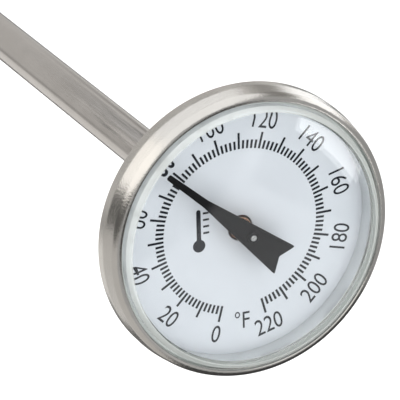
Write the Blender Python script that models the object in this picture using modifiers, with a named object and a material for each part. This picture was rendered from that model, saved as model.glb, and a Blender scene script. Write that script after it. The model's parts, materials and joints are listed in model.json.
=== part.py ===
"""Bimetal meat thermometer with a round dial head on a long stem.

The stem stands on its tip at the origin and +Z runs up it, out through the dial.
+Y points from the dial's centre to its 110 degree mark, which is 12 o'clock.
Three bodies move against each other: the stem with its nut, the head that is turned
on the stem to calibrate it, and the pointer that the bimetal coil turns.
"""

import math

import bmesh
import bpy
from mathutils import Matrix

MM = 0.001

# Driving dimensions
STEM_LENGTH = 127.0 * MM  # tip to the back of the case: 5 inches
STEM_RADIUS = 2.0 * MM
STEM_WALL = 0.35 * MM
DIAL_RADIUS = 12.75 * MM  # the dial plate: a 1 inch dial
HEAD_RADIUS = 14.1 * MM
HEAD_DEPTH = 4.4 * MM  # back of the case to the dial's face
SHAFT_RADIUS = 0.3 * MM

# Clearances
SEAT_GAP = 0.3 * MM  # between pieces that rest on or in each other
SHAFT_GAP = 0.1 * MM  # between the shaft and what it turns in or is pressed into

# Dial scale
DEGREES_PER_UNIT = 1.5  # 220 units of temperature over 330 degrees of arc
SCALE_MIDDLE = 110.0  # the temperature at 12 o'clock
READING = 78.0  # where the pointer rests

# Facets round a full turn
HEAD_SEGMENTS = 64
STEM_SEGMENTS = 32
SHAFT_SEGMENTS = 16
COIL_SEGMENTS = 12

# Heights that several pieces share
DIAL_Z = STEM_LENGTH + HEAD_DEPTH
TIP_TAPER = 3.4 * MM
TUBE_BOTTOM = TIP_TAPER + SEAT_GAP
TUBE_TOP = DIAL_Z - 2.2 * MM
TUBE_BORE = STEM_RADIUS - STEM_WALL
PLUG_RADIUS = TUBE_BORE - SEAT_GAP
SHAFT_BORE = SHAFT_RADIUS + SHAFT_GAP
SHEET = 0.4 * MM  # the case's metal sheet
MIDDLE_WALL = 12.5 * MM  # the polished wall round the dial, and the lens's inside above it

# The case's walls, from the outside in
BEZEL_BORE = HEAD_RADIUS - 0.55 * MM
CASE_RIM_RADIUS = BEZEL_BORE - 0.2 * MM
CASE_RIM_BORE = CASE_RIM_RADIUS - 0.3 * MM
CASE_RIM_TOP = DIAL_Z + 1.1 * MM
DIAL_THICKNESS = 0.3 * MM
LEDGE_Z = DIAL_Z - DIAL_THICKNESS - SEAT_GAP
CASE_BODY_RADIUS = 12.3 * MM
CASE_CORNER = 2.6 * MM
BOSS_RADIUS = 5.0 * MM  # the pressed boss that the friction washer bears on
BOSS_HEIGHT = 0.3 * MM
CASE_HOLE = 3.1 * MM

# The bezel and the lens under its lip
LIP_TOP = DIAL_Z + 3.2 * MM
LIP_UNDER = DIAL_Z + 2.8 * MM
LIP_BORE = 13.1 * MM
BEZEL_BOTTOM = DIAL_Z - 0.15 * MM
BEZEL_SKIRT_TOP = DIAL_Z + 1.0 * MM  # above this the bezel leans in towards its round shoulder
BEZEL_LEAN = 8.0  # degrees
BEZEL_ROUND = 0.8 * MM
BEZEL_NECK = DIAL_Z + 2.05 * MM  # above this the bezel's bore narrows to its lip
LENS_FACE_RADIUS = 12.3 * MM
LENS_BEVEL_HEIGHT = 0.42 * MM
LENS_FLANGE_TOP = LIP_UNDER - SEAT_GAP
LENS_FLANGE_BOTTOM = DIAL_Z + 2.0 * MM
LENS_FLANGE_BEVEL = (0.25 * MM, 0.3 * MM)  # inwards and down
LENS_EDGE_TOP = DIAL_Z + 3.77 * MM
LENS_THICKNESS = 1.0 * MM
LENS_DOME = 0.8 * MM
GASKET_BORE = 12.9 * MM
SPACER_RADIUS = 12.8 * MM
SPACER_TOP = DIAL_Z + 1.8 * MM

# The joint of head and stem, from the case's back down
WASHER_HEIGHT = 0.4 * MM
NUT_TOP = STEM_LENGTH - BOSS_HEIGHT - WASHER_HEIGHT - 2 * SEAT_GAP
NUT_HEIGHT = 4.5 * MM
NUT_ACROSS_FLATS = 8.0 * MM
BUSHING_BORE = STEM_RADIUS + SEAT_GAP
BUSHING_RADIUS = CASE_HOLE - SEAT_GAP
SEAL_RADIUS = 3.45 * MM
SEAL_SECTION = 0.35 * MM
BOSS_FLOOR = STEM_LENGTH - BOSS_HEIGHT + SHEET
BUSHING_FLANGE = BOSS_FLOOR + 2 * SEAT_GAP + 2 * SEAL_SECTION

# Coil and shaft inside the stem
ANCHOR_BOTTOM = TIP_TAPER + 2.4 * MM
ANCHOR_HEIGHT = 1.5 * MM
COIL_BOTTOM = ANCHOR_BOTTOM + ANCHOR_HEIGHT + SEAT_GAP
COIL_TURNS = 22
COIL_PITCH = 1.55 * MM
COIL_STRIP_WIDTH = 1.1 * MM
COIL_STRIP_THICKNESS = 0.25 * MM
COIL_RADIUS = 1.3 * MM
COIL_TOP = COIL_BOTTOM + COIL_TURNS * COIL_PITCH + COIL_STRIP_WIDTH
COLLAR_HEIGHT = 1.5 * MM
GUIDE_HEIGHT = 1.5 * MM
LOWER_GUIDE = COIL_TOP + 6.0 * MM
UPPER_GUIDE = COIL_TOP + 46.0 * MM

# Bearing, hub and pointer over the dial
BEARING_NOSE_RADIUS = 1.05 * MM
BEARING_TOP = DIAL_Z + 0.1 * MM
DIAL_HOLE = BEARING_NOSE_RADIUS + 0.2 * MM
HUB_RADIUS = 0.75 * MM
COLLAR_RADIUS = 1.2 * MM
CAP_RADIUS = 0.6 * MM
CAP_HEIGHT = 0.12 * MM
POINTER_THICKNESS = 0.25 * MM
POINTER_BOTTOM = DIAL_Z + 2.3 * MM
POINTER_TOP = POINTER_BOTTOM + POINTER_THICKNESS
SHAFT_TOP = POINTER_TOP + 0.5 * MM

# Half of the pointer's outline: distance from the pivot, and half the width there
POINTER_REACH = 10.9 * MM
POINTER_TIP_HALF = 0.28 * MM
POINTER_WAIST = (6.0 * MM, 0.38 * MM)
POINTER_TAIL = (-4.4 * MM, 1.6 * MM)
POINTER_NOTCH = -3.66 * MM

MATERIALS = {
    # name: (base colour, roughness, metallic)
    "satin_steel": ((0.62, 0.59, 0.56), 0.38, 1.0),
    "brushed_steel": ((0.58, 0.56, 0.54), 0.32, 1.0),
    "case_steel": ((0.66, 0.65, 0.63), 0.28, 1.0),
    "polished_steel": ((0.75, 0.75, 0.75), 0.12, 1.0),
    "spring_steel": ((0.42, 0.42, 0.44), 0.35, 1.0),
    "bimetal": ((0.55, 0.45, 0.36), 0.35, 1.0),
    "bearing_bronze": ((0.72, 0.42, 0.27), 0.30, 1.0),
    "dial_white": ((0.84, 0.86, 0.89), 0.45, 0.0),
    "pointer_black": ((0.03, 0.03, 0.033), 0.45, 0.0),
    "seal_rubber": ((0.03, 0.03, 0.03), 0.70, 0.0),
    "clear_silicone": ((0.78, 0.80, 0.78), 0.50, 0.0),
    "clear_lens": ((0.92, 0.95, 0.96), 0.05, 0.0),
}


def empty_scene():
    for obj in list(bpy.data.objects):
        bpy.data.objects.remove(obj, do_unlink=True)


def new_collection(name):
    collection = bpy.data.collections.new(name)
    bpy.context.scene.collection.children.link(collection)
    return collection


def make_material(name):
    colour, roughness, metallic = MATERIALS[name]
    material = bpy.data.materials.new(name)
    material.use_nodes = True
    shader = material.node_tree.nodes["Principled BSDF"]
    shader.inputs["Base Color"].default_value = (*colour, 1.0)
    shader.inputs["Roughness"].default_value = roughness
    shader.inputs["Metallic"].default_value = metallic
    return material


class Builder:
    """Holds the collections, the materials and the empty that each body hangs from."""

    def __init__(self):
        self.parts = new_collection("meat_thermometer")
        self.cutters = new_collection("cutters")
        self.materials = {name: make_material(name) for name in MATERIALS}

    def axis(self, name, height, turn=0.0):
        """An empty on the stem's axis, which a body's pieces are parented to."""
        empty = bpy.data.objects.new(name, None)
        empty.location.z = height
        empty.rotation_euler.z = turn
        empty.empty_display_size = HEAD_RADIUS
        self.parts.objects.link(empty)
        return empty

    def add(self, obj, material, parent):
        """Link a piece made in world heights, and hang it on its body's empty."""
        obj.data.materials.append(self.materials[material])
        obj.parent = parent
        obj.location.z -= parent.location.z
        self.parts.objects.link(obj)
        return obj

    def cutter(self, obj, parent):
        obj.parent = parent
        obj.location.z -= parent.location.z
        obj.hide_render = True
        obj.display_type = "WIRE"
        self.cutters.objects.link(obj)
        return obj


def arc(centre, radius, start, end, steps):
    """Points on an arc of a profile; the angles are in degrees from the outward direction."""
    points = []
    for step in range(steps + 1):
        angle = math.radians(start + (end - start) * step / steps)
        points.append((centre[0] + radius * math.cos(angle), centre[1] + radius * math.sin(angle)))
    return points


def dome(edge_radius, edge_z, rise, steps):
    """Points of a shallow dome from its centre out to its edge."""
    points = []
    for step in range(steps + 1):
        radius = edge_radius * step / steps
        points.append((radius, edge_z + rise * (1 - (radius / edge_radius) ** 2)))
    return points


def turned(name, profile, segments, ring=False):
    """A turned piece. The profile runs down the outer side; a ring's closes on itself."""
    mesh = bpy.data.meshes.new(name)
    edges = [(n, n + 1) for n in range(len(profile) - 1)]
    if ring:
        edges.append((len(profile) - 1, 0))
    mesh.from_pydata([(radius, 0.0, z) for radius, z in profile], edges, [])
    obj = bpy.data.objects.new(name, mesh)
    screw = obj.modifiers.new("Turn", "SCREW")
    screw.axis = "Z"
    screw.steps = segments
    screw.render_steps = segments
    screw.use_merge_vertices = True
    screw.merge_threshold = 0.00001
    screw.use_smooth_shade = True
    return obj


def collar(name, outer, bore, bottom, top, segments):
    """A plain turned ring."""
    profile = [(outer, top), (outer, bottom), (bore, bottom), (bore, top)]
    return turned(name, profile, segments, ring=True)


def stem_tip(build, body):
    """The closed end of the stem: a blunt cone with a round nose and a spigot in the tube."""
    nose = 0.7 * MM
    spigot_top = ANCHOR_BOTTOM - SEAT_GAP
    profile = [
        (0.0, spigot_top),
        (PLUG_RADIUS, spigot_top),
        (PLUG_RADIUS, TIP_TAPER),
        (STEM_RADIUS, TIP_TAPER),
        *arc((0.0, nose), nose, -20, -90, 5),
    ]
    build.add(turned("stem_tip", profile, STEM_SEGMENTS), "brushed_steel", body)


def stem_tube(build, body):
    tube = collar("stem_tube", STEM_RADIUS, TUBE_BORE, TUBE_BOTTOM, TUBE_TOP, STEM_SEGMENTS)
    build.add(tube, "brushed_steel", body)


def coil_anchor(build, body):
    """Holds the coil's lower end to the tip."""
    anchor_top = ANCHOR_BOTTOM + ANCHOR_HEIGHT
    anchor = collar("coil_anchor", PLUG_RADIUS, SHAFT_BORE, ANCHOR_BOTTOM, anchor_top, STEM_SEGMENTS)
    build.add(anchor, "brushed_steel", body)


def bimetal_coil(build, body):
    """The flat two-metal strip, wound on edge as a helix, that winds up as it warms."""
    outer, inner = COIL_RADIUS, COIL_RADIUS - COIL_STRIP_THICKNESS
    top, bottom = COIL_BOTTOM + COIL_STRIP_WIDTH, COIL_BOTTOM
    strip = turned("coil_strip", [(outer, top), (outer, bottom), (inner, bottom), (inner, top)],
                   COIL_SEGMENTS, ring=True)
    screw = strip.modifiers["Turn"]
    screw.iterations = COIL_TURNS
    screw.screw_offset = COIL_PITCH
    screw.use_merge_vertices = False
    build.cutters.objects.link(strip)
    depsgraph = bpy.context.evaluated_depsgraph_get()
    mesh = bpy.data.meshes.new_from_object(strip.evaluated_get(depsgraph))
    bpy.data.objects.remove(strip, do_unlink=True)
    mesh.name = "bimetal_coil"
    work = bmesh.new()
    work.from_mesh(mesh)
    bmesh.ops.holes_fill(work, edges=work.edges, sides=4)
    bmesh.ops.recalc_face_normals(work, faces=work.faces)
    work.to_mesh(mesh)
    work.free()
    build.add(bpy.data.objects.new("bimetal_coil", mesh), "bimetal", body)


def shaft_guides(build, body):
    """Two bushes that keep the long shaft in the middle of the stem."""
    for name, bottom in (("lower_shaft_guide", LOWER_GUIDE), ("upper_shaft_guide", UPPER_GUIDE)):
        guide = collar(name, PLUG_RADIUS, SHAFT_BORE, bottom, bottom + GUIDE_HEIGHT, SHAFT_SEGMENTS)
        build.add(guide, "bearing_bronze", body)


def top_bearing(build, body):
    """The bush in the stem's mouth, whose nose shows in the hole of the dial."""
    flange_bottom = TUBE_TOP + SEAT_GAP
    flange_top = flange_bottom + 0.5 * MM
    barrel_bottom = TUBE_TOP - 2.0 * MM
    profile = [
        (BEARING_NOSE_RADIUS, BEARING_TOP),
        (BEARING_NOSE_RADIUS, flange_top),
        (STEM_RADIUS, flange_top),
        (STEM_RADIUS, flange_bottom),
        (PLUG_RADIUS, flange_bottom),
        (PLUG_RADIUS, barrel_bottom),
        (SHAFT_BORE, barrel_bottom),
        (SHAFT_BORE, BEARING_TOP),
    ]
    build.add(turned("top_bearing", profile, SHAFT_SEGMENTS, ring=True), "bearing_bronze", body)


def stem_bushing(build, body):
    """The flanged sleeve, fixed on the stem, that the head turns on."""
    flange_radius = 4.2 * MM
    flange_top = BUSHING_FLANGE + 0.5 * MM
    bottom = NUT_TOP + SEAT_GAP
    profile = [
        (flange_radius, flange_top),
        (flange_radius, BUSHING_FLANGE),
        (BUSHING_RADIUS, BUSHING_FLANGE),
        (BUSHING_RADIUS, bottom),
        (BUSHING_BORE, bottom),
        (BUSHING_BORE, flange_top),
    ]
    build.add(turned("stem_bushing", profile, STEM_SEGMENTS, ring=True), "case_steel", body)


def calibration_nut(build, body):
    """The hexagon behind the head, held with a spanner while the head is turned."""
    corner = NUT_ACROSS_FLATS / math.sqrt(3)
    chamfer = corner - NUT_ACROSS_FLATS / 2
    bottom = NUT_TOP - NUT_HEIGHT
    mesh = bpy.data.meshes.new("calibration_nut")
    work = bmesh.new()
    hexagon_on_corner = Matrix.Rotation(math.radians(30), 4, "Z")
    bmesh.ops.create_cone(work, cap_ends=True, segments=6, radius1=corner, radius2=corner,
                          depth=NUT_HEIGHT, matrix=hexagon_on_corner)
    work.to_mesh(mesh)
    work.free()
    nut = bpy.data.objects.new("calibration_nut", mesh)
    nut.location.z = bottom + NUT_HEIGHT / 2
    build.add(nut, "brushed_steel", body)

    reach = corner + 0.1 * MM
    slope = 0.6 * chamfer
    bore = turned("nut_bore", [(0.0, NUT_TOP + MM), (BUSHING_BORE, NUT_TOP + MM),
                               (BUSHING_BORE, bottom - MM), (0.0, bottom - MM)], STEM_SEGMENTS)
    round_off = turned("nut_round", [
        (0.0, NUT_TOP),
        (corner - chamfer, NUT_TOP),
        (reach, NUT_TOP - slope),
        (reach, bottom + slope),
        (corner - chamfer, bottom),
        (0.0, bottom),
    ], STEM_SEGMENTS)
    for operation, tool in (("INTERSECT", round_off), ("DIFFERENCE", bore)):
        cut = nut.modifiers.new(tool.name, "BOOLEAN")
        cut.operation = operation
        cut.object = build.cutter(tool, body)


def case_cup(build, body):
    """The drawn case: a boss round the stem, a flat back, a round corner, a ledge and a rim."""
    corner_centre = (CASE_BODY_RADIUS - CASE_CORNER, STEM_LENGTH + CASE_CORNER)
    back_flat = corner_centre[0]
    step = BOSS_HEIGHT
    profile = [
        (CASE_RIM_RADIUS, CASE_RIM_TOP),
        (CASE_RIM_RADIUS, LEDGE_Z - SHEET),
        (CASE_BODY_RADIUS, LEDGE_Z - SHEET),
        *arc(corner_centre, CASE_CORNER, 0, -90, 5),
        (BOSS_RADIUS + step, STEM_LENGTH),
        (BOSS_RADIUS, STEM_LENGTH - BOSS_HEIGHT),
        (CASE_HOLE, STEM_LENGTH - BOSS_HEIGHT),
        (CASE_HOLE, BOSS_FLOOR),
        (BOSS_RADIUS - step / 2, BOSS_FLOOR),
        (BOSS_RADIUS + step / 2, STEM_LENGTH + SHEET),
        (back_flat, STEM_LENGTH + SHEET),
        *arc(corner_centre, CASE_CORNER - SHEET, -90, 0, 5)[1:],
        (CASE_BODY_RADIUS - SHEET, LEDGE_Z),
        (CASE_RIM_BORE, LEDGE_Z),
        (CASE_RIM_BORE, CASE_RIM_TOP),
    ]
    build.add(turned("case_cup", profile, HEAD_SEGMENTS, ring=True), "case_steel", body)


def bezel_ring(build, body):
    """The satin ring pressed over the case, whose lip holds the lens down."""
    round_centre = (LIP_BORE, LIP_TOP - BEZEL_ROUND)
    edge = 0.15 * MM
    neck_radius = LIP_BORE + 0.1 * MM
    profile = [
        *arc(round_centre, BEZEL_ROUND, 90, BEZEL_LEAN, 5),
        (HEAD_RADIUS, BEZEL_SKIRT_TOP),
        (HEAD_RADIUS, BEZEL_BOTTOM + edge),
        (HEAD_RADIUS - edge, BEZEL_BOTTOM),
        (BEZEL_BORE, BEZEL_BOTTOM),
        (BEZEL_BORE, BEZEL_NECK),
        (neck_radius, LIP_UNDER),
        (LIP_BORE, LIP_UNDER),
    ]
    build.add(turned("bezel_ring", profile, HEAD_SEGMENTS, ring=True), "satin_steel", body)


def lens(build, body):
    """The clear moulded lens: a low dome that stands out of the bezel and a flange under its lip."""
    wall_radius = LIP_BORE - SEAT_GAP
    flange_radius = BEZEL_BORE - SEAT_GAP
    inner_radius = LENS_FACE_RADIUS - 0.2 * MM
    bevel_in, bevel_down = LENS_FLANGE_BEVEL
    profile = [
        *dome(LENS_FACE_RADIUS, LENS_EDGE_TOP, LENS_DOME, 5),
        (wall_radius, LENS_EDGE_TOP - LENS_BEVEL_HEIGHT),
        (wall_radius, LENS_FLANGE_TOP),
        (flange_radius - bevel_in, LENS_FLANGE_TOP),
        (flange_radius, LENS_FLANGE_TOP - bevel_down),
        (flange_radius, LENS_FLANGE_BOTTOM),
        (MIDDLE_WALL, LENS_FLANGE_BOTTOM),
        *reversed(dome(inner_radius, LENS_EDGE_TOP - LENS_THICKNESS, LENS_DOME, 5)),
    ]
    build.add(turned("lens", profile, HEAD_SEGMENTS), "clear_lens", body)


def lens_gasket(build, body):
    """The clear soft ring between the case's rim and the lens's flange."""
    bottom, top = CASE_RIM_TOP + SEAT_GAP, LENS_FLANGE_BOTTOM - SEAT_GAP
    gasket = collar("lens_gasket", CASE_RIM_RADIUS, GASKET_BORE, bottom, top, HEAD_SEGMENTS)
    build.add(gasket, "clear_silicone", body)


def spacer_ring(build, body):
    """The polished ring that clamps the dial's edge and walls the room under the lens."""
    bottom = DIAL_Z + SEAT_GAP
    ring = collar("spacer_ring", SPACER_RADIUS, MIDDLE_WALL, bottom, SPACER_TOP, HEAD_SEGMENTS)
    build.add(ring, "polished_steel", body)


def dial_plate(build, body):
    bottom = DIAL_Z - DIAL_THICKNESS
    dial = collar("dial_plate", DIAL_RADIUS, DIAL_HOLE, bottom, DIAL_Z, HEAD_SEGMENTS)
    build.add(dial, "dial_white", body)


def stem_seal(build, body):
    """The O-ring between the case's floor and the bushing's flange."""
    centre = (SEAL_RADIUS, BOSS_FLOOR + SEAT_GAP + SEAL_SECTION)
    ring = turned("stem_seal", arc(centre, SEAL_SECTION, 90, -225, 7), STEM_SEGMENTS, ring=True)
    build.add(ring, "seal_rubber", body)


def friction_washer(build, body):
    """The dished spring washer that keeps the head where it was turned to."""
    outer = 4.4 * MM
    sheet = WASHER_HEIGHT / 2
    bottom = NUT_TOP + SEAT_GAP
    profile = [
        (outer, bottom + sheet),
        (outer, bottom),
        (CASE_HOLE, bottom + WASHER_HEIGHT - sheet),
        (CASE_HOLE, bottom + WASHER_HEIGHT),
    ]
    build.add(turned("friction_washer", profile, STEM_SEGMENTS, ring=True), "spring_steel", body)


def pointer_shaft(build, body):
    """The long wire from the coil's top end up through the bearing to the pointer."""
    bottom = COIL_TOP + 2 * SEAT_GAP
    profile = [(0.0, SHAFT_TOP), (SHAFT_RADIUS, SHAFT_TOP), (SHAFT_RADIUS, bottom), (0.0, bottom)]
    build.add(turned("pointer_shaft", profile, SHAFT_SEGMENTS), "polished_steel", body)


def coil_collar(build, body):
    """Ties the coil's top end to the shaft."""
    bottom = COIL_TOP + SEAT_GAP
    ring = collar("coil_collar", COLLAR_RADIUS, SHAFT_BORE, bottom, bottom + COLLAR_HEIGHT, SHAFT_SEGMENTS)
    build.add(ring, "bearing_bronze", body)


def pointer_hub(build, body):
    """The bush that the pointer is pressed on."""
    bottom, top = BEARING_TOP + SEAT_GAP, POINTER_BOTTOM - SEAT_GAP
    ring = collar("pointer_hub", HUB_RADIUS, SHAFT_BORE, bottom, top, SHAFT_SEGMENTS)
    build.add(ring, "bearing_bronze", body)


def pointer_cap(build, body):
    """The thin ring round the shaft's end, over the pointer."""
    bottom = POINTER_TOP + SEAT_GAP
    ring = collar("pointer_cap", CAP_RADIUS, SHAFT_BORE, bottom, bottom + CAP_HEIGHT, SHAFT_SEGMENTS)
    build.add(ring, "pointer_black", body)


def closed_spline(curve, points):
    spline = curve.splines.new("POLY")
    spline.points.add(len(points) - 1)
    for point, (x, y) in zip(spline.points, points):
        point.co = (x, y, 0.0, 1.0)
    spline.use_cyclic_u = True


def pointer_plate(build, body):
    """The blackened pointer: a slim arm, a body that flares to the tail, and a notch in the tail."""
    upper = [
        (POINTER_NOTCH, 0.0),
        POINTER_TAIL,
        POINTER_WAIST,
        *arc((POINTER_REACH - POINTER_TIP_HALF, 0.0), POINTER_TIP_HALF, 90, 0, 3),
    ]
    lower = [(x, -y) for x, y in reversed(upper[1:-1])]
    curve = bpy.data.curves.new("pointer_plate", "CURVE")
    curve.dimensions = "2D"
    curve.fill_mode = "BOTH"
    curve.extrude = POINTER_THICKNESS / 2
    closed_spline(curve, upper + lower)
    closed_spline(curve, arc((0.0, 0.0), SHAFT_BORE, 0, 360 - 360 / SHAFT_SEGMENTS, SHAFT_SEGMENTS - 1))
    pointer = bpy.data.objects.new("pointer_plate", curve)
    pointer.location.z = POINTER_BOTTOM + POINTER_THICKNESS / 2
    build.add(pointer, "pointer_black", body)


def main():
    empty_scene()
    build = Builder()
    stem = build.axis("stem_axis", 0.0)
    head = build.axis("head_axis", STEM_LENGTH)
    bearing_to_reading = math.radians(90 - (READING - SCALE_MIDDLE) * DEGREES_PER_UNIT)
    pointer = build.axis("pointer_axis", POINTER_TOP, bearing_to_reading)

    stem_tip(build, stem)
    stem_tube(build, stem)
    coil_anchor(build, stem)
    bimetal_coil(build, stem)
    shaft_guides(build, stem)
    top_bearing(build, stem)
    stem_bushing(build, stem)
    calibration_nut(build, stem)

    case_cup(build, head)
    bezel_ring(build, head)
    lens(build, head)
    lens_gasket(build, head)
    spacer_ring(build, head)
    dial_plate(build, head)
    stem_seal(build, head)
    friction_washer(build, head)

    pointer_shaft(build, pointer)
    coil_collar(build, pointer)
    pointer_hub(build, pointer)
    pointer_plate(build, pointer)
    pointer_cap(build, pointer)


main()
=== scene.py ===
"""Looks of the bimetal meat thermometer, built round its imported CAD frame.

The stem's tip is at the origin, +Z runs up the stem and out through the dial, and +Y
points to the dial's 110 degree mark. Every turned piece shares that axis.
"""

import json
import math

import bmesh
import bpy
from mathutils import Matrix, Vector


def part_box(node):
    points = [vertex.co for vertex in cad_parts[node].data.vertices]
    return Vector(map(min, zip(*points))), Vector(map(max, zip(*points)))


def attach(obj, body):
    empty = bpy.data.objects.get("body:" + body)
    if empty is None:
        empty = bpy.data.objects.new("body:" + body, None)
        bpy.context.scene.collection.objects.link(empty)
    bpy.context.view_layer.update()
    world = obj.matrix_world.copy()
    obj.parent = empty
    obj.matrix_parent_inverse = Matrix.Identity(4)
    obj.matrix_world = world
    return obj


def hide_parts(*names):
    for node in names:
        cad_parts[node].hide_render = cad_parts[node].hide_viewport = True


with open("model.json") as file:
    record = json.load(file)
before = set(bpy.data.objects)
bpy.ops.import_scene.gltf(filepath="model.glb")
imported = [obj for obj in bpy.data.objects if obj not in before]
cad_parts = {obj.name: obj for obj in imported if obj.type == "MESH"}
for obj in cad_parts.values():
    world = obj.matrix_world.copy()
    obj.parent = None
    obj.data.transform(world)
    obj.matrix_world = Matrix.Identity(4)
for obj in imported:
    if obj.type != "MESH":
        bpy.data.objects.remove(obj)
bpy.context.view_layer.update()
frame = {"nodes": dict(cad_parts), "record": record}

MM = 0.001


def low(node):
    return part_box(node)[0]


def high(node):
    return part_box(node)[1]


# Places and sizes read from the frame
DIAL_Z = high("dial_plate").z
DIAL_RADIUS = high("dial_plate").x
HEAD_RADIUS = high("bezel_ring").x
LIP_TOP = high("bezel_ring").z
BEZEL_BOTTOM = low("bezel_ring").z
CASE_BACK = low("case_cup").z
CASE_RIM_RADIUS = high("case_cup").x
LENS_TOP = high("lens").z
LENS_BOTTOM = low("lens").z
LENS_RADIUS = high("lens").x
STEM_RADIUS = high("stem_tube").x
STEM_TOP = high("stem_tube").z
NUT_BOTTOM = low("calibration_nut").z
NUT_TOP = high("calibration_nut").z
NUT_HALF_FLATS = high("calibration_nut").y
POINTER_TOP = high("pointer_plate").z
POINTER_BOTTOM = low("pointer_plate").z
SHAFT_RADIUS = high("pointer_shaft").x
SHAFT_TOP = high("pointer_shaft").z

SEGMENTS = 240
SMALL_SEGMENTS = 64
STEM_SEGMENTS = 128

# The bezel and the lens, beyond what the frame's boxes tell
LIP_BORE = 13.1 * MM
LIP_UNDER = LIP_TOP - 0.4 * MM
BEZEL_ROUND = 0.8 * MM
BEZEL_LEAN = 8.0  # degrees
SKIRT_TOP = DIAL_Z + 1.05 * MM
LENS_FACE_RADIUS = 12.3 * MM
LENS_EDGE_TOP = DIAL_Z + 3.77 * MM
LENS_THICKNESS = 1.0 * MM
MIDDLE_WALL = 12.5 * MM  # radius of the polished wall between dial and lens

# Dial scale
UNITS = 220
DEGREES_PER_UNIT = 1.5
SCALE_MIDDLE = 110
READING = 78
TICK_INNER = 7.75 * MM
MINOR_TICK = 0.82 * MM
MAJOR_TICK = 1.58 * MM
TICK_WIDTH = 0.22 * MM
NUMBER_RADIUS = 10.53 * MM
UNIT_RADIUS = 9.25 * MM
NUMBER_HEIGHT = 1.66 * MM
NUMBER_PITCH = 0.97 * MM
INK = 0.012 * MM


# ---------------------------------------------------------------- materials


def new_material(name):
    material = bpy.data.materials.new(name)
    material.use_nodes = True
    tree = material.node_tree
    tree.nodes.clear()
    shader = tree.nodes.new("ShaderNodeBsdfPrincipled")
    output = tree.nodes.new("ShaderNodeOutputMaterial")
    tree.links.new(shader.outputs[0], output.inputs["Surface"])
    return material, tree, shader


def set_inputs(node, **values):
    for name, value in values.items():
        node.inputs[name.replace("_", " ")].default_value = value


def position(tree, scale=(1, 1, 1)):
    """Object coordinates in metres, stretched by scale."""
    coordinates = tree.nodes.new("ShaderNodeTexCoord")
    mapping = tree.nodes.new("ShaderNodeMapping")
    mapping.inputs["Scale"].default_value = scale
    tree.links.new(coordinates.outputs["Object"], mapping.inputs["Vector"])
    return mapping.outputs[0]


def noise(tree, vector, scale, detail=4.0, roughness=0.55):
    node = tree.nodes.new("ShaderNodeTexNoise")
    set_inputs(node, Scale=scale, Detail=detail, Roughness=roughness)
    tree.links.new(vector, node.inputs["Vector"])
    return node.outputs["Fac"]


def ranged(tree, value, low_out, high_out, low_in=0.3, high_in=0.7):
    node = tree.nodes.new("ShaderNodeMapRange")
    node.inputs["From Min"].default_value = low_in
    node.inputs["From Max"].default_value = high_in
    node.inputs["To Min"].default_value = low_out
    node.inputs["To Max"].default_value = high_out
    tree.links.new(value, node.inputs["Value"])
    return node.outputs["Result"]


def two_colours(tree, value, first, second, low_in=0.3, high_in=0.7):
    ramp = tree.nodes.new("ShaderNodeValToRGB")
    ramp.color_ramp.elements[0].position = low_in
    ramp.color_ramp.elements[1].position = high_in
    ramp.color_ramp.elements[0].color = (*first, 1)
    ramp.color_ramp.elements[1].color = (*second, 1)
    tree.links.new(value, ramp.inputs["Fac"])
    return ramp.outputs["Color"]


def bump(tree, shader, heights, distance):
    node = tree.nodes.new("ShaderNodeBump")
    node.inputs["Strength"].default_value = 1.0
    node.inputs["Distance"].default_value = distance
    tree.links.new(heights, node.inputs["Height"])
    tree.links.new(node.outputs[0], shader.inputs["Normal"])


def metal(name, dark, light, rough_low, rough_high, grain, stretch=(1, 1, 1), depth=0.0):
    """Bare metal: grain is the texture's cells per metre, and depth the height of its bump."""
    material, tree, shader = new_material(name)
    shader.inputs["Metallic"].default_value = 1.0
    where = position(tree, stretch)
    fine = noise(tree, where, grain)
    broad = noise(tree, position(tree), 260.0, detail=3.0)
    tree.links.new(two_colours(tree, broad, dark, light), shader.inputs["Base Color"])
    tree.links.new(ranged(tree, fine, rough_low, rough_high), shader.inputs["Roughness"])
    if depth:
        bump(tree, shader, fine, depth)
    return material


def paint(name, dark, light, rough_low, rough_high, grain, depth=0.0, gloss=0.5):
    """Paint, ink or rubber; grain and depth as in metal."""
    material, tree, shader = new_material(name)
    fine = noise(tree, position(tree), grain)
    broad = noise(tree, position(tree), 300.0, detail=3.0)
    tree.links.new(two_colours(tree, broad, dark, light), shader.inputs["Base Color"])
    tree.links.new(ranged(tree, fine, rough_low, rough_high), shader.inputs["Roughness"])
    shader.inputs["Specular IOR Level"].default_value = gloss
    if depth:
        bump(tree, shader, fine, depth)
    return material


def clear_plastic(name, roughness, tint, clarity=1.0):
    """Lens plastic: it bends and mirrors light for sight, and lets lamps' light straight through."""
    material, tree, shader = new_material(name)
    set_inputs(shader, Roughness=roughness, IOR=1.49)
    shader.inputs["Transmission Weight"].default_value = clarity
    shader.inputs["Base Color"].default_value = (*tint, 1)
    output = tree.nodes["Material Output"]
    open_shader = tree.nodes.new("ShaderNodeBsdfTransparent")
    open_shader.inputs["Color"].default_value = (0.94, 0.955, 0.96, 1)
    path = tree.nodes.new("ShaderNodeLightPath")
    mix = tree.nodes.new("ShaderNodeMixShader")
    tree.links.new(path.outputs["Is Shadow Ray"], mix.inputs["Fac"])
    tree.links.new(shader.outputs[0], mix.inputs[1])
    tree.links.new(open_shader.outputs[0], mix.inputs[2])
    tree.links.new(mix.outputs[0], output.inputs["Surface"])
    return material


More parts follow.
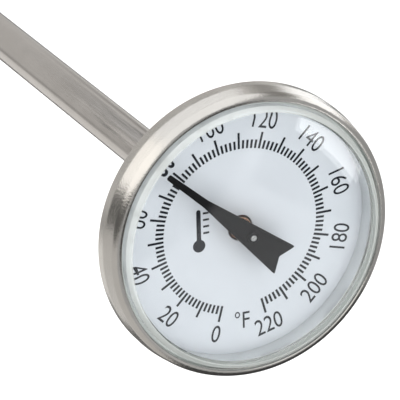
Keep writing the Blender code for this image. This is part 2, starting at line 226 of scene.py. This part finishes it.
MATERIALS = {
    "satin_steel": metal("satin_steel", (0.53, 0.515, 0.49), (0.58, 0.565, 0.54), 0.13, 0.18, 6000,
                         depth=0.015 * MM),
    "brushed_steel": metal("brushed_steel", (0.50, 0.48, 0.46), (0.54, 0.52, 0.50), 0.14, 0.24, 5000,
                           stretch=(1, 1, 0.03), depth=0.0015 * MM),
    "case_steel": metal("case_steel", (0.58, 0.57, 0.55), (0.68, 0.67, 0.65), 0.18, 0.26, 6000),
    "polished_steel": metal("polished_steel", (0.74, 0.75, 0.74), (0.84, 0.85, 0.84), 0.29, 0.36, 4000),
    "spring_steel": metal("spring_steel", (0.34, 0.34, 0.36), (0.46, 0.46, 0.48), 0.25, 0.4, 5000),
    "bimetal": metal("bimetal", (0.46, 0.38, 0.30), (0.60, 0.50, 0.40), 0.25, 0.4, 5000),
    "bearing_bronze": metal("bearing_bronze", (0.62, 0.33, 0.20), (0.80, 0.48, 0.32), 0.18, 0.3, 5000),
    "dial_white": paint("dial_white", (0.665, 0.69, 0.73), (0.695, 0.72, 0.76), 0.4, 0.55, 4000),
    "pointer_black": paint("pointer_black", (0.004, 0.004, 0.005), (0.009, 0.009, 0.010), 0.5, 0.65, 9000,
                           gloss=0.12),
    "dial_ink": paint("dial_ink", (0.010, 0.011, 0.015), (0.022, 0.024, 0.030), 0.5, 0.6, 9000, gloss=0.15),
    "seal_rubber": paint("seal_rubber", (0.012, 0.012, 0.012), (0.02, 0.02, 0.02), 0.6, 0.8, 7000,
                         depth=0.005 * MM),
    "clear_silicone": paint("clear_silicone", (0.70, 0.72, 0.70), (0.78, 0.80, 0.78), 0.4, 0.55, 5000),
    "clear_lens": clear_plastic("clear_lens", 0.0, (0.975, 0.985, 0.99)),
    "lens_edge": clear_plastic("lens_edge", 0.25, (0.66, 0.69, 0.67), clarity=0.6),
}


# ---------------------------------------------------------------- geometry


def arc(centre, radius, start, end, steps):
    """Points on an arc of a profile; the angles are in degrees from the outward direction."""
    points = []
    for step in range(steps + 1):
        angle = math.radians(start + (end - start) * step / steps)
        points.append((centre[0] + radius * math.cos(angle), centre[1] + radius * math.sin(angle)))
    return points


def rounded(corners, closed=True, steps=6):
    """A profile from (x, y, corner radius) points, each corner replaced by a round."""
    points = []
    count = len(corners)
    for n, (x, y, radius) in enumerate(corners):
        inner = closed or 0 < n < count - 1
        if not radius or not inner:
            points.append((x, y))
            continue
        here = Vector((x, y))
        before = Vector(corners[n - 1][:2]) - here
        after = Vector(corners[(n + 1) % count][:2]) - here
        half = before.angle(after) / 2
        reach = min(radius / math.tan(half), 0.49 * before.length, 0.49 * after.length)
        start = here + before.normalized() * reach
        end = here + after.normalized() * reach
        for step in range(steps + 1):
            t = step / steps
            bent = start * (1 - t) ** 2 + here * 2 * t * (1 - t) + end * t ** 2
            points.append((bent.x, bent.y))
    return points


def dome(edge_radius, edge_z, rise, steps):
    """Points of a shallow dome from its centre out to its edge."""
    points = []
    for step in range(steps + 1):
        radius = edge_radius * step / steps
        points.append((radius, edge_z + rise * (1 - (radius / edge_radius) ** 2)))
    return points


def finish_piece(obj, material, body, replaced=()):
    obj.data.materials.clear()
    obj.data.materials.append(MATERIALS[material])
    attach(obj, body)
    if replaced:
        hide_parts(*replaced)
    return obj


def mesh_object(name, work, smooth_angle=35):
    bmesh.ops.recalc_face_normals(work, faces=work.faces)
    mesh = bpy.data.meshes.new(name)
    work.to_mesh(mesh)
    work.free()
    mesh.shade_smooth()
    mesh.set_sharp_from_angle(angle=math.radians(smooth_angle))
    obj = bpy.data.objects.new(name, mesh)
    bpy.context.scene.collection.objects.link(obj)
    return obj


def surface_of_rows(name, rows, closed, smooth_angle=35):
    """A mesh through rows of points, each row a full turn; a row of one point is a pole."""
    work = bmesh.new()
    rings = [[work.verts.new(point) for point in row] for row in rows]
    pairs = list(zip(rings, rings[1:]))
    if closed:
        pairs.append((rings[-1], rings[0]))
    for upper, lower in pairs:
        count = max(len(upper), len(lower))
        for n in range(count):
            after = (n + 1) % count
            if len(upper) == 1:
                work.faces.new((upper[0], lower[n], lower[after]))
            elif len(lower) == 1:
                work.faces.new((upper[n], lower[0], upper[after]))
            else:
                work.faces.new((upper[n], lower[n], lower[after], upper[after]))
    return mesh_object(name, work, smooth_angle)


def circle(radius, z, segments):
    turn = 2 * math.pi / segments
    return [(radius * math.cos(n * turn), radius * math.sin(n * turn), z) for n in range(segments)]


def turned(name, profile, segments=SEGMENTS, closed=True, smooth_angle=35):
    rows = [[(0, 0, z)] if radius < 1e-7 else circle(radius, z, segments) for radius, z in profile]
    return surface_of_rows(name, rows, closed, smooth_angle)


def make_bezel():
    """The satin ring: a straight skirt, a wall that leans in, a round shoulder and a lip."""
    bore = HEAD_RADIUS - 0.55 * MM
    neck = DIAL_Z + 2.05 * MM
    edge = 0.15 * MM
    step = 0.1 * MM
    below_round = 0.08 * MM
    round_centre = (LIP_BORE, LIP_TOP - BEZEL_ROUND)
    lean = math.tan(math.radians(BEZEL_LEAN))
    blend = 0.12 * MM
    outside = arc(round_centre, BEZEL_ROUND, 84, BEZEL_LEAN, 20)
    shoulder = outside[-1]
    profile = [
        (LIP_BORE, LIP_TOP - 0.12 * MM),
        (LIP_BORE + 0.03 * MM, LIP_TOP - 0.04 * MM),
        *outside,
        (shoulder[0] + below_round * lean, shoulder[1] - below_round),
        (HEAD_RADIUS - 2 * blend * lean, SKIRT_TOP + 2 * blend),
        (HEAD_RADIUS - blend * lean, SKIRT_TOP + blend),
        (HEAD_RADIUS, SKIRT_TOP - blend / 2),
        (HEAD_RADIUS, SKIRT_TOP - 2 * blend),
        (HEAD_RADIUS, BEZEL_BOTTOM + edge + step),
        *arc((HEAD_RADIUS - edge, BEZEL_BOTTOM + edge), edge, 0, -90, 6),
        (bore, BEZEL_BOTTOM),
        (bore, neck),
        (LIP_BORE + step, LIP_UNDER),
        (LIP_BORE, LIP_UNDER),
    ]
    finish_piece(turned("bezel", profile), "satin_steel", "head", ["bezel_ring"])


def make_case():
    """The drawn cup behind the dial: a rim, a ledge under the dial, a body and a low boss."""
    body_radius = 12.3 * MM
    corner = 2.6 * MM
    sheet = 0.4 * MM
    rim_sheet = 0.3 * MM
    boss_height = 0.3 * MM
    ledge = low("dial_plate").z - 0.3 * MM
    back = CASE_BACK + boss_height
    centre = (body_radius - corner, back + corner)
    hole = 3.1 * MM
    boss = 5.0 * MM
    top = high("case_cup").z
    profile = [
        (CASE_RIM_RADIUS, top),
        *rounded([
            (CASE_RIM_RADIUS, top, 0),
            (CASE_RIM_RADIUS, ledge - sheet, 0.35 * MM),
            (body_radius, ledge - sheet, 0.25 * MM),
            (body_radius, centre[1], 0),
        ], closed=False)[1:-1],
        *arc(centre, corner, 0, -90, 20),
        *rounded([
            (centre[0], back, 0),
            (boss + 0.35 * MM, back, 0.3 * MM),
            (boss, CASE_BACK, 0.3 * MM),
            (hole, CASE_BACK, 0),
        ], closed=False)[1:],
        (hole, CASE_BACK + sheet),
        (boss, CASE_BACK + sheet),
        (boss + boss_height, back + sheet),
        (centre[0], back + sheet),
        *arc(centre, corner - sheet, -90, 0, 20)[1:],
        (body_radius - sheet, ledge),
        (CASE_RIM_RADIUS - rim_sheet, ledge),
        (CASE_RIM_RADIUS - rim_sheet, top),
    ]
    finish_piece(turned("case_shell", profile), "case_steel", "head", ["case_cup"])


def make_lens():
    """The domed lens; its bevel, wall and flange are frosted, its two faces are polished."""
    rise = LENS_TOP - LENS_EDGE_TOP
    wall_radius = LIP_BORE - 0.3 * MM
    inner_radius = LENS_FACE_RADIUS - 0.2 * MM
    flange_top = LIP_UNDER - 0.3 * MM
    flange_edge = flange_top - 0.3 * MM
    bevel_bottom = LENS_EDGE_TOP - 0.42 * MM
    profile = [
        *dome(LENS_FACE_RADIUS, LENS_EDGE_TOP, rise, 40),
        *rounded([
            (LENS_FACE_RADIUS, LENS_EDGE_TOP, 0),
            (LENS_FACE_RADIUS + 0.1 * MM, LENS_EDGE_TOP - 0.03 * MM, 0.08 * MM),
            (wall_radius, bevel_bottom, 0.1 * MM),
            (wall_radius, flange_top, 0),
        ], closed=False)[1:],
        (LENS_RADIUS - 0.25 * MM, flange_top),
        (LENS_RADIUS, flange_edge),
        (LENS_RADIUS, LENS_BOTTOM),
        (MIDDLE_WALL, LENS_BOTTOM),
        *reversed(dome(inner_radius, LENS_EDGE_TOP - LENS_THICKNESS, rise, 40)),
    ]
    lens = finish_piece(turned("lens_crystal", profile, closed=False), "clear_lens", "head", ["lens"])
    lens.data.materials.append(MATERIALS["lens_edge"])
    for face in lens.data.polygons:
        if face.center.xy.length > LENS_FACE_RADIUS:
            face.material_index = 1


def make_gasket():
    """The clear soft ring under the lens's flange, pressed flat between flange and case rim."""
    bottom, top = high("case_cup").z, LENS_BOTTOM
    outer = high("lens_gasket").x
    inner = 12.9 * MM
    radius = 0.12 * MM
    profile = rounded([
        (outer, top, radius),
        (outer, bottom, radius),
        (inner, bottom, radius),
        (inner, top, radius),
    ])
    finish_piece(turned("gasket_ring", profile), "clear_silicone", "head", ["lens_gasket"])


def make_inner_ring():
    """The polished wall between dial and lens."""
    top = high("spacer_ring").z
    outer = high("spacer_ring").x
    profile = rounded([
        (outer, top, 0.05 * MM),
        (outer, DIAL_Z, 0.03 * MM),
        (MIDDLE_WALL, DIAL_Z, 0.03 * MM),
        (MIDDLE_WALL, top, 0.12 * MM),
    ])
    finish_piece(turned("inner_ring", profile), "polished_steel", "head", ["spacer_ring"])


def make_dial():
    hole = 1.25 * MM
    radius = 0.04 * MM
    bottom = low("dial_plate").z
    profile = rounded([
        (DIAL_RADIUS, DIAL_Z, radius),
        (DIAL_RADIUS, bottom, radius),
        (hole, bottom, radius),
        (hole, DIAL_Z, radius),
    ], steps=3)
    finish_piece(turned("dial_face", profile), "dial_white", "head", ["dial_plate"])


def angle_of(value):
    """Direction of a temperature on the dial, in radians from +X, counted anticlockwise."""
    return math.radians(90 - (value - SCALE_MIDDLE) * DEGREES_PER_UNIT)


def ink_box(work, centre, along, length, width):
    """A flat stroke of ink on the dial: along is the direction of its length."""
    along = Vector((math.cos(along), math.sin(along), 0))
    across = Vector((-along.y, along.x, 0))
    corners = []
    for side, end in ((-1, -1), (-1, 1), (1, 1), (1, -1)):
        corners.append(centre + along * (end * length / 2) + across * (side * width / 2))
    bottom = [work.verts.new(corner) for corner in corners]
    top = [work.verts.new(corner + Vector((0, 0, INK))) for corner in corners]
    work.faces.new(top)
    work.faces.new(bottom[::-1])
    for n in range(4):
        after = (n + 1) % 4
        work.faces.new((bottom[n], bottom[after], top[after], top[n]))


def make_ticks():
    work = bmesh.new()
    for value in range(0, UNITS + 1, 2):
        length = MAJOR_TICK if value % 10 == 0 else MINOR_TICK
        angle = angle_of(value)
        middle = TICK_INNER + length / 2
        centre = Vector((middle * math.cos(angle), middle * math.sin(angle), DIAL_Z))
        ink_box(work, centre, angle, length, TICK_WIDTH)
    finish_piece(mesh_object("dial_ticks", work), "dial_ink", "head")


def glyph_mesh(text):
    """A word in Blender's own font."""
    curve = bpy.data.curves.new("glyphs", "FONT")
    curve.body = text
    curve.resolution_u = 8
    curve.extrude = 0.5
    obj = bpy.data.objects.new("glyphs", curve)
    bpy.context.scene.collection.objects.link(obj)
    depsgraph = bpy.context.evaluated_depsgraph_get()
    mesh = bpy.data.meshes.new_from_object(obj.evaluated_get(depsgraph))
    bpy.data.objects.remove(obj, do_unlink=True)
    return mesh


def glyph_size(mesh):
    """Its left, right, bottom and top."""
    xs = [v.co.x for v in mesh.vertices]
    ys = [v.co.y for v in mesh.vertices]
    return min(xs), max(xs), min(ys), max(ys)


def digit_scale():
    """How much to stretch the font so that its digits have the dial's pitch and height."""
    _, one_right, bottom, top = glyph_size(glyph_mesh("8"))
    _, two_right, _, _ = glyph_size(glyph_mesh("88"))
    return NUMBER_PITCH / (two_right - one_right), NUMBER_HEIGHT / (top - bottom)


def set_word(work, text, radius, angle, outward, scale):
    """Print a word with its middle at radius and angle, its tops outward or inward."""
    mesh = glyph_mesh(text)
    left, right, bottom, top = glyph_size(mesh)
    wide, tall = scale
    turn = angle - math.pi / 2 if outward else angle + math.pi / 2
    mesh.transform(
        Matrix.Translation((radius * math.cos(angle), radius * math.sin(angle), DIAL_Z + INK / 2))
        @ Matrix.Rotation(turn, 4, "Z")
        @ Matrix.Diagonal((wide, tall, INK, 1))
        @ Matrix.Translation((-(left + right) / 2, -(bottom + top) / 2, 0))
    )
    work.from_mesh(mesh)
    bpy.data.meshes.remove(mesh)


def make_numbers():
    work = bmesh.new()
    scale = digit_scale()
    for value in range(0, UNITS + 1, 20):
        outward = 60 <= value <= 160
        set_word(work, str(value), NUMBER_RADIUS, angle_of(value), outward, scale)
    set_word(work, "°F", UNIT_RADIUS, math.radians(-90), False, scale)
    bmesh.ops.remove_doubles(work, verts=work.verts, dist=1e-6)
    finish_piece(mesh_object("dial_numbers", work), "dial_ink", "head")


def ink_disc(work, centre, radius, segments=40):
    matrix = Matrix.Translation(centre + Vector((0, 0, INK / 2)))
    bmesh.ops.create_cone(work, cap_ends=True, segments=segments, radius1=radius, radius2=radius,
                          depth=INK, matrix=matrix)


def make_symbol():
    """A plain thermometer sign left of the pivot: a bulb, a stem and a short scale."""
    middle = Vector((-4.2 * MM, 0.45 * MM, DIAL_Z))
    bulb_radius = 0.62 * MM
    stem_half_width = 0.22 * MM
    stem_length = 3.06 * MM
    mark_length, mark_width = 0.6 * MM, 0.2 * MM
    work = bmesh.new()
    ink_disc(work, middle + Vector((0, -1.5 * MM, 0)), bulb_radius)
    ink_disc(work, middle + Vector((0, 1.85 * MM, 0)), stem_half_width)
    ink_box(work, middle + Vector((0, 0.3 * MM, 0)), math.pi / 2, stem_length, 2 * stem_half_width)
    for n in range(4):
        side = middle + Vector((0.75 * MM, (1.65 - 0.65 * n) * MM, 0))
        ink_box(work, side, 0.0, mark_length, mark_width)
    finish_piece(mesh_object("dial_symbol", work), "dial_ink", "head")


def pointer_outline():
    """The pointer's outline along +X: a slim arm, a flaring body and a notched tail."""
    reach, tip_half = 10.9 * MM, 0.28 * MM
    upper = [
        (-3.66 * MM, 0.0, 0.15 * MM),
        (-4.4 * MM, 1.6 * MM, 0.12 * MM),
        (6.0 * MM, 0.38 * MM, 1.5 * MM),
        (reach, tip_half, 0.26 * MM),
    ]
    lower = [(x, -y, radius) for x, y, radius in reversed(upper[1:])]
    return rounded(upper + lower, steps=8)


def closed_spline(curve, points):
    spline = curve.splines.new("POLY")
    spline.points.add(len(points) - 1)
    for point, (x, y) in zip(spline.points, points):
        point.co = (x, y, 0.0, 1.0)
    spline.use_cyclic_u = True


def make_pointer():
    """The black plate, with broken edges and a hole for the shaft."""
    edge = 0.03 * MM
    hole = 0.38 * MM
    curve = bpy.data.curves.new("pointer_blade", "CURVE")
    curve.dimensions = "2D"
    curve.fill_mode = "BOTH"
    curve.extrude = (POINTER_TOP - POINTER_BOTTOM) / 2 - edge
    curve.bevel_depth = edge
    curve.bevel_resolution = 2
    curve.offset = -edge
    closed_spline(curve, pointer_outline())
    closed_spline(curve, arc((0, 0), hole, 0, 352.5, 47))
    obj = bpy.data.objects.new("pointer_curve", curve)
    bpy.context.scene.collection.objects.link(obj)
    depsgraph = bpy.context.evaluated_depsgraph_get()
    mesh = bpy.data.meshes.new_from_object(obj.evaluated_get(depsgraph))
    bpy.data.objects.remove(obj, do_unlink=True)
    mesh.transform(
        Matrix.Translation((0, 0, (POINTER_TOP + POINTER_BOTTOM) / 2))
        @ Matrix.Rotation(angle_of(READING), 4, "Z")
    )
    work = bmesh.new()
    work.from_mesh(mesh)
    bmesh.ops.remove_doubles(work, verts=work.verts, dist=1e-6)
    finish_piece(mesh_object("pointer_blade", work), "pointer_black", "pointer", ["pointer_plate"])


def make_shaft():
    """The turned shaft, with a low dome on its end."""
    bottom = low("pointer_shaft").z
    profile = [
        (0.0, SHAFT_TOP),
        (SHAFT_RADIUS * 0.55, SHAFT_TOP - 0.01 * MM),
        (SHAFT_RADIUS * 0.85, SHAFT_TOP - 0.05 * MM),
        (SHAFT_RADIUS, SHAFT_TOP - 0.12 * MM),
        (SHAFT_RADIUS, bottom),
        (0.0, bottom),
    ]
    shaft = turned("pivot_shaft", profile, 48, closed=False)
    finish_piece(shaft, "polished_steel", "pointer", ["pointer_shaft"])


def make_hub():
    """The dark collar over the pointer and the bush under it, both tight on the shaft."""
    bore = SHAFT_RADIUS + 0.03 * MM
    cap_radius = 0.60 * MM
    cap_top_radius = 0.56 * MM
    cap_top = high("pointer_cap").z
    cap = rounded([
        (cap_top_radius, cap_top, 0.12 * MM),
        (cap_radius, POINTER_TOP, 0),
        (bore, POINTER_TOP, 0),
        (bore, cap_top, 0.06 * MM),
    ])
    finish_piece(turned("pivot_cap", cap, SMALL_SEGMENTS), "pointer_black", "pointer", ["pointer_cap"])
    hub_radius = high("pointer_hub").x
    hub_bottom = low("pointer_hub").z
    hub = rounded([
        (hub_radius, POINTER_BOTTOM, 0.03 * MM),
        (hub_radius, hub_bottom, 0.05 * MM),
        (bore, hub_bottom, 0.02 * MM),
        (bore, POINTER_BOTTOM, 0.02 * MM),
    ])
    finish_piece(turned("hub_bush", hub, SMALL_SEGMENTS), "bearing_bronze", "pointer", ["pointer_hub"])


def make_bearing():
    """The bush in the top of the stem, whose nose comes up through the dial's hole."""
    barrel, nose = 1.35 * MM, 1.05 * MM
    bore = 0.4 * MM
    shoulder = STEM_TOP + 0.8 * MM
    bottom, top = low("top_bearing").z, high("top_bearing").z
    profile = rounded([
        (nose, top, 0.08 * MM),
        (nose, shoulder, 0.05 * MM),
        (STEM_RADIUS, shoulder, 0.05 * MM),
        (STEM_RADIUS, STEM_TOP, 0.02 * MM),
        (barrel, STEM_TOP, 0.02 * MM),
        (barrel, bottom, 0.05 * MM),
        (bore, bottom, 0.05 * MM),
        (bore, top, 0.05 * MM),
    ])
    bush = turned("bearing_bush", profile, SMALL_SEGMENTS)
    finish_piece(bush, "bearing_bronze", "stem", ["top_bearing"])


def make_stem():
    """The tube, and the point that closes it: a cone with a round nose on a plug."""
    wall = 0.35 * MM
    seam = 0.02 * MM
    plug = 2.1 * MM
    shoulder = high("stem_tip").z - plug
    nose = 0.7 * MM
    nose_start = -22  # degrees from the outward direction, where the cone meets the round nose
    nose_edge = arc((0.0, nose), nose, nose_start, nose_start, 1)[0]
    tube = rounded([
        (STEM_RADIUS, STEM_TOP, 0.05 * MM),
        (STEM_RADIUS, shoulder + seam, 0.06 * MM),
        (STEM_RADIUS - wall, shoulder + seam, 0),
        (STEM_RADIUS - wall, STEM_TOP, 0),
    ], steps=3)
    barrel = turned("stem_barrel", tube, STEM_SEGMENTS)
    finish_piece(barrel, "brushed_steel", "stem", ["stem_tube"])
    spigot = STEM_RADIUS - wall - 0.03 * MM
    tip = [
        (0.0, high("stem_tip").z),
        (spigot, high("stem_tip").z),
        (spigot, shoulder),
        *rounded([
            (spigot, shoulder, 0),
            (STEM_RADIUS, shoulder, 0.06 * MM),
            (STEM_RADIUS, shoulder - 0.25 * MM, 0.8 * MM),
            (*nose_edge, 0),
        ], closed=False)[1:-1],
        *arc((0.0, nose), nose, nose_start, -90, 10),
    ]
    point = turned("stem_point", tip, STEM_SEGMENTS, closed=False)
    finish_piece(point, "brushed_steel", "stem", ["stem_tip"])


def hexagon(limit, z, segments):
    """A row of points round a hexagon with flats on +Y and -Y, no further out than limit."""
    points = []
    for n in range(segments):
        angle = 2 * math.pi * n / segments
        from_flat = (angle + math.pi / 3) % (math.pi / 3) - math.pi / 6
        radius = min(NUT_HALF_FLATS / math.cos(from_flat), limit)
        points.append((radius * math.cos(angle), radius * math.sin(angle), z))
    return points


def make_nut():
    """A hexagon whose corners are turned off at both ends."""
    steps = 12
    corner = NUT_HALF_FLATS / math.cos(math.radians(30))
    bore = STEM_RADIUS + 0.05 * MM
    inner = NUT_HALF_FLATS - 0.15 * MM
    depth = (corner - inner) * math.tan(math.radians(30))
    limits = [inner + (corner - inner) * step / steps for step in range(steps + 1)]
    drops = [depth * step / steps for step in range(steps + 1)]
    cuts = list(zip(limits, drops))
    rows = [circle(bore, NUT_TOP, SEGMENTS)]
    rows += [hexagon(limit, NUT_TOP - drop, SEGMENTS) for limit, drop in cuts]
    rows += [hexagon(limit, NUT_BOTTOM + drop, SEGMENTS) for limit, drop in reversed(cuts)]
    rows.append(circle(bore, NUT_BOTTOM, SEGMENTS))
    nut = surface_of_rows("hex_nut", rows, True, 20)
    finish_piece(nut, "brushed_steel", "stem", ["calibration_nut"])


def dress_cad_nodes():
    """The hidden CAD pieces stay as they are and take the same finishes."""
    slots = {s["node"]: s["material_slot"] for s in frame["record"]["subparts"]}
    for name, node in frame["nodes"].items():
        node.data.materials.clear()
        node.data.materials.append(MATERIALS[slots[name]])
        node.data.shade_smooth()
        node.data.set_sharp_from_angle(angle=math.radians(35))


# ---------------------------------------------------------------- stage


def make_floor():
    """A plain pale floor. Steel and lamps see past it, to the studio's panels below the horizon."""
    half = 2.0
    gap = 0.2 * MM  # under the stem's tip
    corners = [(-half, -half, 0), (half, -half, 0), (half, half, 0), (-half, half, 0)]
    mesh = bpy.data.meshes.new("floor")
    mesh.from_pydata(corners, [], [(0, 1, 2, 3)])
    floor = bpy.data.objects.new("floor", mesh)
    floor.location.z = -gap
    bpy.context.scene.collection.objects.link(floor)
    material, tree, shader = new_material("floor")
    set_inputs(shader, Roughness=1.0)
    shader.inputs["Base Color"].default_value = (0.95, 0.95, 0.95, 1)
    open_shader = tree.nodes.new("ShaderNodeBsdfTransparent")
    path = tree.nodes.new("ShaderNodeLightPath")
    either = tree.nodes.new("ShaderNodeMath")
    either.operation = "MAXIMUM"
    mix = tree.nodes.new("ShaderNodeMixShader")
    tree.links.new(path.outputs["Is Glossy Ray"], either.inputs[0])
    tree.links.new(path.outputs["Is Shadow Ray"], either.inputs[1])
    tree.links.new(either.outputs[0], mix.inputs["Fac"])
    tree.links.new(shader.outputs[0], mix.inputs[1])
    tree.links.new(open_shader.outputs[0], mix.inputs[2])
    tree.links.new(mix.outputs[0], tree.nodes["Material Output"].inputs["Surface"])
    mesh.materials.append(material)


def make_camera():
    """A long lens above the dial's upper left; right, up and back are its own directions."""
    right = Vector((0.9067, -0.018, 0.4213))
    up = Vector((0.1748, 0.9253, -0.3366))
    back = Vector((-0.3838, 0.3789, 0.8421))
    distance = 320 * MM
    target = Vector((0, 0, DIAL_Z + 0.36 * MM))
    left_of_target, above_target = 3.74, 2.56  # millimetres, where the picture's middle lies
    place = target + back * distance
    aim = target + right * -left_of_target * MM + up * above_target * MM
    camera = bpy.data.cameras.new("camera")
    camera.lens = 311.2
    camera.sensor_width = 36
    obj = bpy.data.objects.new("camera", camera)
    view_back = (place - aim).normalized()
    view_right = up.cross(view_back).normalized()
    view_up = view_back.cross(view_right)
    rotation = Matrix((view_right, view_up, view_back)).transposed()
    obj.matrix_world = Matrix.Translation(place) @ rotation.to_4x4()
    bpy.context.scene.collection.objects.link(obj)
    bpy.context.scene.camera = obj


# The studio's soft panels, painted over each other in this order. Azimuths run clockwise from
# +Y seen from above. Each panel has its azimuths and elevations in degrees, from and to, its
# brightness and its colour.
WARM = (1.0, 0.975, 0.94)
NEUTRAL = (1.0, 1.0, 1.0)
PANELS = (
    ((0, 360), (-91, 0), 0.70, WARM),
    ((90, 180), (36, 64.5), 0.65, NEUTRAL),
    ((45, 225), (65.5, 79), 0.04, NEUTRAL),
    ((184, 262), (-50, 40), 0.72, WARM),
    ((259, 284), (-50, 64), 0.16, WARM),
    ((284, 289), (-50, 80), 0.8, WARM),
    ((288, 325), (-50, 80), 1.75, WARM),
    ((325, 391), (-50, 62), 1.4, NEUTRAL),
    ((284, 385), (-55, -50), 0.25, NEUTRAL),
    ((31, 51), (-40, 30), 0.35, WARM),
    ((42, 60), (-58, -38), 0.4, WARM),
    ((52, 76), (-32, 24), 1.9, NEUTRAL),
    ((64, 97), (-54, -32), 1.7, NEUTRAL),
    ((97, 130), (-66, -30), 0.28, NEUTRAL),
    ((88, 135), (-66, -54.5), 0.3, NEUTRAL),
    ((84, 128), (-30, 36), 0.45, NEUTRAL),
    ((128, 184), (-66, 30), 0.08, NEUTRAL),
    ((150, 184), (-66, -52), 0.22, WARM),
    ((184, 238), (-66, -52), 0.95, WARM),
    ((240, 256), (-66, -52), 0.45, WARM),
    ((108, 124), (44, 63), 0.05, NEUTRAL),
)


class World:
    """Builds the studio's shader: soft-edged panels by azimuth and elevation."""

    PANEL_BLUR = 2.0  # degrees
    WINDOW_BLUR = 0.5  # degrees

    def __init__(self, base):
        world = bpy.data.worlds.new("studio")
        bpy.context.scene.world = world
        world.use_nodes = True
        self.tree = world.node_tree
        self.light = self.tree.nodes["Background"]
        direction = self.tree.nodes.new("ShaderNodeTexCoord")
        parts = self.tree.nodes.new("ShaderNodeSeparateXYZ")
        self.tree.links.new(direction.outputs["Generated"], parts.inputs[0])
        x, y, z = parts.outputs
        self.azimuth = self.math("ARCTAN2", x, y)
        self.elevation = self.math("ARCSINE", z)
        self.colour = self.tree.nodes.new("ShaderNodeRGB").outputs[0]
        self.colour.default_value = (base, base, base, 1)

    def math(self, operation, *values):
        node = self.tree.nodes.new("ShaderNodeMath")
        node.operation = operation
        for socket, value in zip(node.inputs, values):
            if isinstance(value, float):
                socket.default_value = value
            else:
                self.tree.links.new(value, socket)
        return node.outputs[0]

    def soft_band(self, angle, start, end, softness):
        """1 where angle, in radians, lies between start and end, in degrees, with soft edges."""
        middle, half = math.radians((start + end) / 2), math.radians((end - start) / 2)
        blur = math.radians(softness) / 2
        away = self.math("SUBTRACT", angle, middle)
        away = self.math("WRAP", away, math.pi, -math.pi)
        away = self.math("ABSOLUTE", away)
        edge = self.tree.nodes.new("ShaderNodeMapRange")
        edge.interpolation_type = "SMOOTHSTEP"
        set_inputs(edge, From_Min=half + blur, From_Max=half - blur)
        self.tree.links.new(away, edge.inputs["Value"])
        return edge.outputs["Result"]

    def panel(self, azimuths, elevations, brightness, colour):
        """One of the PANELS; a whole turn of azimuth needs no side edges."""
        mask = self.soft_band(self.elevation, *elevations, self.PANEL_BLUR)
        if azimuths[1] - azimuths[0] < 360:
            across = self.soft_band(self.azimuth, *azimuths, 1.5 * self.PANEL_BLUR)
            mask = self.math("MULTIPLY", mask, across)
        self.mix_in(mask, brightness, colour)

    def window(self):
        """A window that the lens mirrors near its rim: a crisp pane with slanted sides."""
        slant, brightness = 0.79, 3.8
        sides, ends = (146.0, 155.8), (48.6, 59.2)  # degrees
        slanted = self.math("MULTIPLY", self.elevation, slant)
        slanted = self.math("ADD", slanted, self.azimuth)
        across = self.soft_band(slanted, *sides, self.WINDOW_BLUR)
        upward = self.soft_band(self.elevation, *ends, self.WINDOW_BLUR)
        self.mix_in(self.math("MULTIPLY", across, upward), brightness, NEUTRAL)

    def mix_in(self, mask, brightness, colour):
        """Paint a colour over what is there, where mask is 1."""
        mix = self.tree.nodes.new("ShaderNodeMixRGB")
        mix.inputs["Color2"].default_value = (*(brightness * part for part in colour), 1)
        self.tree.links.new(mask, mix.inputs["Fac"])
        self.tree.links.new(self.colour, mix.inputs["Color1"])
        self.colour = mix.outputs[0]

    def finish(self):
        """Light the scene with the panels and show the camera a plain white backdrop."""
        self.tree.links.new(self.colour, self.light.inputs["Color"])
        backdrop = self.tree.nodes.new("ShaderNodeBackground")
        backdrop.inputs["Color"].default_value = (1.0, 1.0, 1.0, 1)
        path = self.tree.nodes.new("ShaderNodeLightPath")
        mix = self.tree.nodes.new("ShaderNodeMixShader")
        self.tree.links.new(path.outputs["Is Camera Ray"], mix.inputs["Fac"])
        self.tree.links.new(self.light.outputs[0], mix.inputs[1])
        self.tree.links.new(backdrop.outputs[0], mix.inputs[2])
        self.tree.links.new(mix.outputs[0], self.tree.nodes["World Output"].inputs["Surface"])


def make_fill():
    """A broad lamp overhead. Steel doesn't mirror it, so it doesn't wash out the panels."""
    brightness = 2.3  # on the panels' scale
    height = 0.8  # metres above the dial
    light = bpy.data.lights.new("top_fill", "AREA")
    light.size = 1.2
    light.energy = brightness * math.pi * light.size ** 2
    obj = bpy.data.objects.new("top_fill", light)
    obj.location.z = DIAL_Z + height
    obj.visible_camera = False
    obj.visible_glossy = False
    obj.visible_transmission = False
    bpy.context.scene.collection.objects.link(obj)


def make_lights():
    make_fill()
    world = World(base=0.55)
    for panel in PANELS:
        world.panel(*panel)
    world.window()
    world.finish()
    bpy.context.scene.view_settings.view_transform = "Standard"


dress_cad_nodes()
make_bezel()
make_case()
make_lens()
make_gasket()
make_inner_ring()
make_dial()
make_ticks()
make_numbers()
make_symbol()
make_pointer()
make_shaft()
make_hub()
make_bearing()
make_stem()
make_nut()
make_floor()
make_camera()
make_lights()
